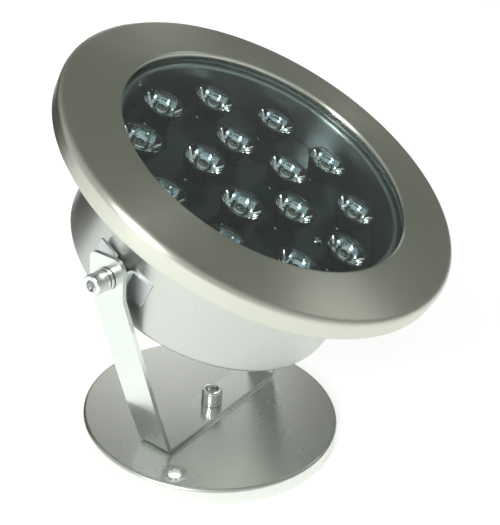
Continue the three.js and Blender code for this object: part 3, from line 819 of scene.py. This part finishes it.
def board():
    """The round board with its LEDs, their domes and their soldered leads."""
    edge = 0.2
    disc = revolved("led_board_fine", [
        (0, BOARD_TOP - BOARD_T), *arc(BOARD_R - edge, BOARD_TOP - BOARD_T + edge, edge, 270, 360, 2),
        *arc(BOARD_R - edge, BOARD_TOP - edge, edge, 0, 90, 2), (0, BOARD_TOP),
    ], 128, ring=False)
    in_head(disc, MASK, "board_black", "led_board")
    bodies, domes, metal = [], [], []
    for x, y in led_places():
        for group, made in zip((bodies, domes, metal), emitter_parts(x, y)):
            group += made
    in_head(merged("led_bodies", bodies), PLASTIC, "black_plastic")
    in_head(merged("led_domes", domes), PHOSPHOR, "clear_lens")
    in_head(merged("led_leads", metal), SOLDER, "bright_stainless")


def board_screws():
    """Three screws between the rings hold the board on its heat sink."""
    circle_r, first_deg = 36.8, 44.3
    head_outline = [(0, 0), (2.4, 0), *arc(0.9, 0, 1.5, 0, 90, 6), (1.1, 1.5), (1.0, 0.6), (0, 0.6)]
    screws = []
    for k in range(3):
        angle = math.radians(first_deg + 120 * k)
        head = revolved("screw", head_outline, 32, ring=False)
        screws.append(shifted(head, circle_r * math.cos(angle), circle_r * math.sin(angle), BOARD_TOP))
    in_head(merged("board_screws", screws), BRIGHT_STEEL, "bright_stainless")


# ---- cable gland ----

def gland_body(seat, neck_end):
    """Chamfered hexagon under the cup, with a grooved neck through it and a bore for the cable."""
    flat_r = GLAND_HEX_R * math.cos(math.pi / 6)
    outer, neck_top = GLAND_HEX_R + 0.2, seat + 6
    body = prism("gland_body_fine", hexagon(GLAND_HEX_R), seat - 5.5, seat)
    cone = revolved("cone", [
        (0, seat - 5.5), (flat_r, seat - 5.5), (outer, seat - 4.7), (outer, seat), (0, seat),
    ], 96, ring=False)
    minus(body, applied(cone), operation="INTERSECT")
    root_r, pitch = GLAND_NECK_R - 0.5, 1.5
    grooves = []
    for k in range(int((neck_top - neck_end) / pitch)):
        z = neck_end + k * pitch
        grooves += [(GLAND_NECK_R, z + 0.1), (GLAND_NECK_R, z + 0.55), (root_r, z + 0.9), (root_r, z + 1.3)]
    neck = revolved("neck", [
        (0, neck_end), (GLAND_NECK_R - 0.4, neck_end), *grooves, (root_r, neck_top), (0, neck_top),
    ], 64, ring=False, sharp=30)
    minus(body, applied(neck), operation="UNION")
    minus(body, drill(GLAND_BORE_R, neck_end - 1, seat + 7))
    in_head(even_normals(body), BRIGHT_STEEL, "bright_stainless", "gland_body")


def gland_nut(nut_top, nut_end):
    """Domed clamping nut with shallow grips round it."""
    nut = revolved("gland_nut_fine", [
        (GLAND_NECK_R + 0.3, nut_top), (GLAND_NECK_R + 0.3, nut_end + 4), (GLAND_BORE_R + 0.6, nut_end + 4),
        (GLAND_BORE_R + 0.8, nut_end + 2), (GLAND_BORE_R + 1.4, nut_end + 0.6),
        (GLAND_BORE_R + 2.2, nut_end + 0.1), (7.2, nut_end),
        *arc(6.2, nut_end + 3.8, 3.8, 285, 350, 8), (GLAND_NUT_R, nut_end + 4.4),
        (GLAND_NUT_R, nut_top - 0.4), (GLAND_NUT_R - 0.4, nut_top),
    ], 144)
    grips, grip_depth = 18, 0.45
    for vertex in nut.data.vertices:
        x, y, z = vertex.co
        if math.hypot(x, y) > (GLAND_NUT_R - 0.05) * MM and z < (nut_top - 1.5) * MM:
            factor = 1 - grip_depth * max(0.0, math.cos(grips * math.atan2(y, x))) / GLAND_NUT_R
            vertex.co = (x * factor, y * factor, z)
    in_head(nut, BRIGHT_STEEL, "bright_stainless", "gland_nut")


def gland():
    """The cable's way out: a body through the cup's rear, its nut, and the seal that the nut presses."""
    neck_end = GLAND_SEAT - 14
    nut_top = GLAND_SEAT - 6
    nut_end = nut_top - 15
    gland_body(GLAND_SEAT, neck_end)
    gland_nut(nut_top, nut_end)
    seal = tube("gland_seal_fine", GLAND_BORE_R - 0.4, GLAND_NECK_R, nut_end + 4.3, neck_end - 0.3, 96, 0.4)
    in_head(seal, RUBBER, "black_rubber", "gland_seal")


# ---- pivots ----

def ear(name, cup_y):
    """Hat-shaped ear, with two tabs on the +X side of a cup whose axis is at cup_y, and a bridge between."""
    web = EAR_BRIDGE_HALF - EAR_T / 2
    tab_r = CUP_R + EAR_T / 2 + 0.5
    bridge_x = EAR_BRIDGE_X - EAR_T / 2

    def on_cup(y):
        return math.sqrt(tab_r ** 2 - (y - cup_y) ** 2), y

    lower = [on_cup(-EAR_TAB_END), on_cup(-web), (bridge_x, -web)]
    upper = [(bridge_x, web), on_cup(web), on_cup(EAR_TAB_END)]
    stations = bent_path(lower + upper, (1, 1, 1, 1), 5)
    hat = bent_strip(name, stations, [(-EAR_W / 2, EAR_W / 2)] * len(stations), EAR_T)
    placed(hat, Matrix.Translation((0, 0, EAR_CENTRE * MM)) @ Matrix.Rotation(math.pi / 2, 4, "X"))
    softened(hat, 0.2, 2)
    applied(hat)
    hole = placed(drill(M5_BORE, CUP_R, EAR_BRIDGE_X + 1, 48), ALONG_X)
    return even_normals(minus(hat, hole))


def pivot(side, turn):
    """All the pieces of one pivot, drawn on the +X side and turned half round for the left one."""
    flip = PIVOTS @ Matrix.Rotation(turn, 4, "Z")
    cup_y = BEAM_OFFSET_Y * math.cos(turn)
    dressed(ear(f"ear_fine_{side}", cup_y), EAR_STEEL, "head", flip, "brushed_stainless", f"ear_{side}")

    def along(thing, x, part, material, slot_name):
        """Sets a piece on the pivot's axis at x, and names the CAD part that it stands for."""
        matrix = flip @ Matrix.Translation((x * MM, 0, 0)) @ ALONG_X
        dressed(thing, material, "head", matrix, slot_name, f"{part}_{side}")

    def start(part):
        """Where a CAD part begins along the pivot's axis, in millimetres outwards."""
        low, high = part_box(f"{part}_{side}")
        return (low.x if turn == 0 else -high.x) / MM

    def steel_part(thing, part):
        along(thing, start(part), part, BRIGHT_STEEL, "bright_stainless")

    def fine(part):
        return f"{part}_fine_{side}"

    steel_part(tube(fine("pivot_nut"), M5_BORE, PIVOT_NUT_R, 0, PIVOT_NUT_LENGTH, 48), "pivot_nut")
    flat = tube(fine("pivot_flat_washer"), M5_BORE, M5_WASHER_R, 0, FLAT_WASHER_T, 64)
    steel_part(flat, "pivot_flat_washer")
    spring = split_washer(fine("pivot_spring_washer"), M5_BORE, M5_SPRING_R, SPRING_WASHER_T, 0.3)
    steel_part(spring, "pivot_spring_washer")
    friction = tube(fine("pivot_friction_washer"), M5_BORE, FRICTION_WASHER_R, 0, FRICTION_WASHER_T, 64)
    along(friction, start("pivot_friction_washer"), "pivot_friction_washer", RUBBER, "black_rubber")
    low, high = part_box(f"pivot_bolt_{side}")
    length = (high.x - low.x) / MM - M5["head_h"]
    screw = cap_screw(fine("pivot_bolt"), **M5, length=length)
    along(screw, start("pivot_bolt") + length, "pivot_bolt", BRIGHT_STEEL, "bright_stainless")


# ---- carried-over nodes, out of sight inside the cup ----

def paint_hidden():
    """Gives the heat sink and the driver board their own materials."""
    for node, material in (("heat_sink", ALUMINIUM), ("driver_board", GREEN_MASK)):
        mesh = frame["nodes"][node].data
        mesh.materials.clear()
        mesh.materials.append(material.material)


# ---- floor, light and camera ----

def towards(azimuth, elevation):
    """Unit vector from the object towards a direction in degrees."""
    a, e = math.radians(azimuth), math.radians(elevation)
    return Vector((math.sin(a) * math.cos(e), -math.cos(a) * math.cos(e), math.sin(e)))


DARK_SIDE = towards(92, 45)
FLOOR_SIZE, FLOOR_GAP = 12, 0.0002


def floor():
    """Plain white floor, a hair below the foot, lit a little from within so that it stays white."""
    bpy.ops.mesh.primitive_plane_add(size=FLOOR_SIZE, location=(0, 0, -FLOOR_GAP))
    plane = bpy.context.object
    plane.name = "floor"
    material = Material("floor", (0.93, 0.93, 0.93), 0.6, Emission_Color=(1, 1, 1, 1), Emission_Strength=0.6)
    plane.data.materials.append(material.material)


def soft_box(name, azimuth, elevation, distance, width, height, radiance):
    """A rectangular area light that faces the object, as bright all over as radiance says."""
    away = towards(azimuth, elevation)
    light = bpy.data.lights.new(name, "AREA")
    light.shape = "RECTANGLE"
    light.size, light.size_y = width, height
    light.energy = math.pi * width * height * radiance
    lamp = bpy.data.objects.new(name, light)
    lamp.location = Vector((0, 0, 0.1)) + away * distance
    lamp.rotation_euler = away.to_track_quat("Z", "Y").to_euler()
    lamp.visible_camera = False
    bpy.context.scene.collection.objects.link(lamp)


def dark_card(azimuth, distance, width, height):
    """A black card on the floor that only gloss can see, which gives the bright metal its dark edges."""
    away = towards(azimuth, 0)
    bpy.ops.mesh.primitive_plane_add(size=1, location=away * distance + Vector((0, 0, height / 2)))
    card = bpy.context.object
    card.name = "dark_card"
    card.scale = (width, height, 1)
    card.rotation_euler = away.to_track_quat("Z", "Y").to_euler()
    card.data.materials.append(Material("dark_card", (0.06, 0.055, 0.045), 0.9).material)
    for ray in ("camera", "diffuse", "transmission", "volume_scatter", "shadow"):
        setattr(card, f"visible_{ray}", False)


def surroundings():
    """A pale studio that darkens towards the upper right, and looks plain white to the camera."""
    world = bpy.data.worlds.new("studio")
    bpy.context.scene.world = world
    world.use_nodes = True
    nodes, links = world.node_tree.nodes, world.node_tree.links
    direction = nodes.new("ShaderNodeTexCoord").outputs["Generated"]
    facing = nodes.new("ShaderNodeVectorMath")
    facing.operation = "DOT_PRODUCT"
    facing.inputs[1].default_value = DARK_SIDE
    links.new(direction, facing.inputs[0])
    ramp = nodes.new("ShaderNodeValToRGB")
    ramp.color_ramp.interpolation = "EASE"
    first, last = ramp.color_ramp.elements
    first.position, first.color = 0.15, (0.62, 0.63, 0.62, 1)
    last.position, last.color = 0.80, (0.215, 0.225, 0.205, 1)
    links.new(facing.outputs["Value"], ramp.inputs[0])
    plain = nodes.new("ShaderNodeMix")
    plain.data_type = "RGBA"
    plain.inputs[7].default_value = (1, 1, 1, 1)
    links.new(nodes.new("ShaderNodeLightPath").outputs["Is Camera Ray"], plain.inputs[0])
    links.new(ramp.outputs[0], plain.inputs[6])
    links.new(plain.outputs[2], nodes["Background"].inputs["Color"])


CAMERA_AIM = Vector((9.7, 8.08, 86.23)) * MM
CAMERA_AZIMUTH, CAMERA_ELEVATION, CAMERA_ROLL = -57.42, 25.90, 5.06
CAMERA_DISTANCE, CAMERA_LENS = 0.4025, 60.23


def camera():
    """Looks at the light from its front left, a little above."""
    away = towards(CAMERA_AZIMUTH, CAMERA_ELEVATION)
    data = bpy.data.cameras.new("camera")
    data.lens = CAMERA_LENS
    data.sensor_width = 36
    data.clip_start = 0.01
    lens = bpy.data.objects.new("camera", data)
    lens.rotation_mode = "QUATERNION"
    turn = away.to_track_quat("Z", "Y") @ Matrix.Rotation(math.radians(CAMERA_ROLL), 4, "Z").to_quaternion()
    lens.rotation_quaternion = turn
    lens.location = CAMERA_AIM + away * CAMERA_DISTANCE
    bpy.context.scene.collection.objects.link(lens)
    bpy.context.scene.camera = lens


camera()
foot_plate()
bracket()
centre_stack()
bezel()
housing()
window()
inner_ring()
optics()
board()
board_screws()
gland()
pivot("right", 0.0)
pivot("left", math.pi)
paint_hidden()
floor()
surroundings()
dark_card(azimuth=182, distance=0.38, width=0.26, height=0.30)
soft_box("key", azimuth=-88, elevation=32, distance=1.2, width=0.38, height=0.50, radiance=15.0)
soft_box("rear_glow", azimuth=129, elevation=25, distance=1.5, width=0.55, height=0.40, radiance=0.75)
soft_box("rear_window", azimuth=131, elevation=12, distance=1.5, width=0.16, height=0.20, radiance=8.0)
soft_box("right_window", azimuth=60, elevation=40, distance=1.5, width=0.14, height=0.30, radiance=4.0)
bpy.context.scene.view_settings.view_transform = "Standard"
